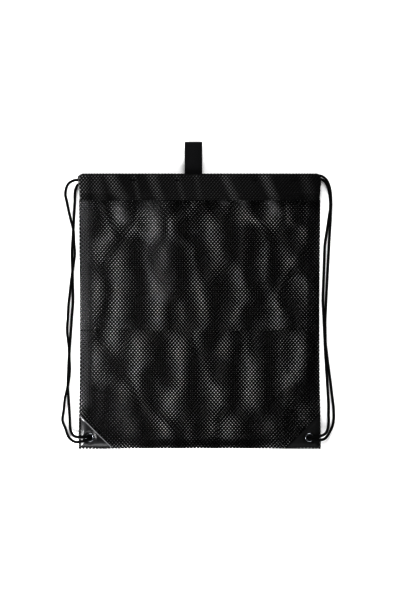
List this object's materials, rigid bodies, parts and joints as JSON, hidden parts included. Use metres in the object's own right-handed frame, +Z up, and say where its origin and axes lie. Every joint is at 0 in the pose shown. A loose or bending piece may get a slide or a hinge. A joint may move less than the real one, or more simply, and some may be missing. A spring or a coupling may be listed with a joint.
{
  "type": "mesh drawstring backpack",
  "caption": "Flat mesh gym sack with cord tunnels along its mouth, drawcord shoulder straps held by eyelets in leather corner patches, and a webbing hanging loop.",
  "frame": {"origin": "on the floor under the middle of bag and hanging loop, measured without the drawcords", "axes": "+X to the bag's right as seen from the front, +Y towards the mouth and the hanging loop, +Z up, out of the front panel"},
  "size_m": [0.397, 0.444, 0.0233],
  "materials": {
    "netting": "black warp-knitted polyester mesh, slightly lustrous",
    "patch": "black coated leather, semi-gloss with a fine grain",
    "eyelet": "nickel-plated, polished",
    "webbing": "matte black woven tape",
    "cord": "matte black braided cord"
  },
  "bodies": {
    "root": {"front_panel": "netting", "back_panel": "netting", "front_casing": "netting", "back_casing": "netting", "bottom_seam": "netting", "side_seam_left": "netting", "side_seam_right": "netting", "corner_patch_left": "patch", "corner_patch_right": "patch", "eyelet_left": "eyelet", "eyelet_right": "eyelet", "hanging_loop": "webbing", "drawcord_left": "cord", "drawcord_right": "cord", "knot_left": "cord", "knot_right": "cord"}
  },
  "joints": []
}
